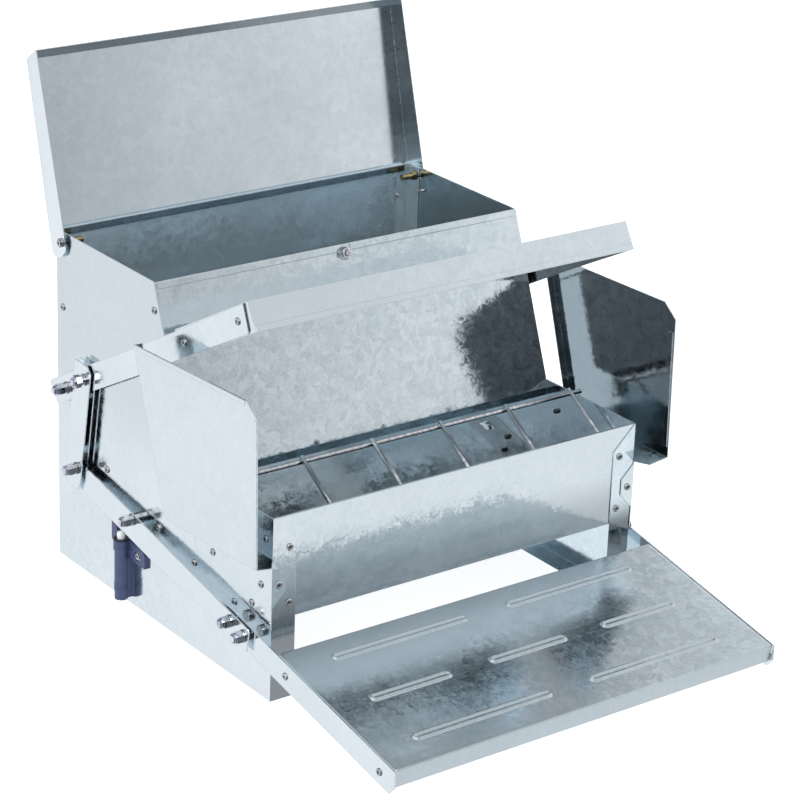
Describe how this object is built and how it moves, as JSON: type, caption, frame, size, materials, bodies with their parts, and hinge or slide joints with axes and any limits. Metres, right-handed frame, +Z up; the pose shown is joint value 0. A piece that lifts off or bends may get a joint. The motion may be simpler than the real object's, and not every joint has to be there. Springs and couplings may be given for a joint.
{
  "type": "gravity poultry feeder",
  "caption": "Galvanised sheet steel gravity poultry feeder with a slanted hopper and lid, a trough under a hinged cover, and a treadle whose levers and links lift the cover, with a small damper",
  "frame": {"origin": "centre of the bounding box in plan, on the ground, with the feeder as it stands in the rest pose", "axes": "+Z up; -Y is the front, where the treadle and the trough are; +X is to the right of a person who faces the front of the feeder"},
  "size_m": [0.4284, 0.55, 0.4488],
  "materials": {
    "galvanised_sheet": "galvanised steel sheet with a fine spangle",
    "bright_rod": "galvanised steel rod",
    "zinc_fastener": "bright zinc plate",
    "damper_plastic": "slate blue moulded plastic",
    "white_plastic": "white moulded plastic",
    "black_rubber": "black rubber",
    "brass": "yellow passivated sleeve"
  },
  "bodies": {
    "feeder_body": {"side_panel_left": "galvanised_sheet", "side_panel_right": "galvanised_sheet", "back_panel": "galvanised_sheet", "hopper_front_panel": "galvanised_sheet", "trough_pan": "galvanised_sheet", "feed_saver_grille": "bright_rod", "side_guard_left": "galvanised_sheet", "side_guard_right": "galvanised_sheet", "treadle_pivot_bolt_left": "zinc_fastener", "treadle_pivot_bolt_right": "zinc_fastener", "treadle_pivot_spacer_left": "zinc_fastener", "treadle_pivot_spacer_right": "zinc_fastener", "treadle_pivot_nut_left": "zinc_fastener", "treadle_pivot_nut_right": "zinc_fastener", "cover_pivot_bolt_left": "zinc_fastener", "cover_pivot_bolt_right": "zinc_fastener", "cover_pivot_spacer_left": "zinc_fastener", "cover_pivot_spacer_right": "zinc_fastener", "cover_pivot_nut_left": "zinc_fastener", "cover_pivot_nut_right": "zinc_fastener", "lid_hinge_screw_left": "zinc_fastener", "lid_hinge_screw_right": "zinc_fastener", "lid_hinge_sleeve_left": "brass", "lid_hinge_sleeve_right": "brass", "hopper_front_bolt": "zinc_fastener", "hopper_front_nut": "zinc_fastener", "damper_body": "damper_plastic", "damper_seal_ring": "black_rubber", "damper_screw": "zinc_fastener"},
    "treadle": {"treadle_plate": "galvanised_sheet", "treadle_arm_left": "galvanised_sheet", "treadle_arm_right": "galvanised_sheet", "lever_arm_left": "galvanised_sheet", "lever_arm_right": "galvanised_sheet", "joint_bolt_rear_left": "zinc_fastener", "joint_bolt_rear_right": "zinc_fastener", "joint_bolt_front_left": "zinc_fastener", "joint_bolt_front_right": "zinc_fastener", "joint_nut_rear_left": "zinc_fastener", "joint_nut_rear_right": "zinc_fastener", "joint_nut_front_left": "zinc_fastener", "joint_nut_front_right": "zinc_fastener", "lower_link_bolt_left": "zinc_fastener", "lower_link_bolt_right": "zinc_fastener", "lower_link_nut_left": "zinc_fastener", "lower_link_nut_right": "zinc_fastener"},
    "trough_cover": {"cover_plate": "galvanised_sheet", "cover_arm_left": "galvanised_sheet", "cover_arm_right": "galvanised_sheet", "upper_link_bolt_left": "zinc_fastener", "upper_link_bolt_right": "zinc_fastener", "upper_link_nut_left": "zinc_fastener", "upper_link_nut_right": "zinc_fastener"},
    "link_left": {"link_left": "galvanised_sheet"},
    "link_right": {"link_right": "galvanised_sheet"},
    "damper_plunger": {"damper_plunger": "white_plastic"},
    "hopper_lid": {"hopper_lid": "galvanised_sheet"}
  },
  "joints": [
    {"name": "treadle_hinge", "type": "hinge", "parent": "feeder_body", "child": "treadle", "pos_m": [0, 0.09978, 0.0849], "axis": [-1, 0, 0], "range_deg": [0, 10.9]},
    {"name": "cover_hinge", "type": "hinge", "parent": "feeder_body", "child": "trough_cover", "pos_m": [0, 0.21018, 0.1647], "axis": [1, 0, 0], "range_deg": [0, 28.6]},
    {"name": "link_hinge_left", "type": "hinge", "parent": "treadle", "child": "link_left", "pos_m": [0, 0.19018, 0.098], "axis": [1, 0, 0], "range_deg": [0, 15.6]},
    {"name": "link_hinge_right", "type": "hinge", "parent": "treadle", "child": "link_right", "pos_m": [0, 0.19018, 0.098], "axis": [1, 0, 0], "range_deg": [0, 15.6]},
    {"name": "damper_slide", "type": "slide", "parent": "feeder_body", "child": "damper_plunger", "axis": [0, 0, -1], "range_m": [0, 0.0036]},
    {"name": "lid_hinge", "type": "hinge", "parent": "feeder_body", "child": "hopper_lid", "pos_m": [0, 0.22078, 0.2914], "axis": [1, 0, 0], "range_deg": [0, 105.8]}
  ],
  "couplings": [
    {"joint": "cover_hinge", "follows": "treadle_hinge", "ratio": 2.62},
    {"joint": "link_hinge_left", "follows": "treadle_hinge", "ratio": 1.43},
    {"joint": "link_hinge_right", "follows": "treadle_hinge", "ratio": 1.43},
    {"joint": "damper_slide", "follows": "treadle_hinge", "m_per_rad": 0.0184}
  ]
}
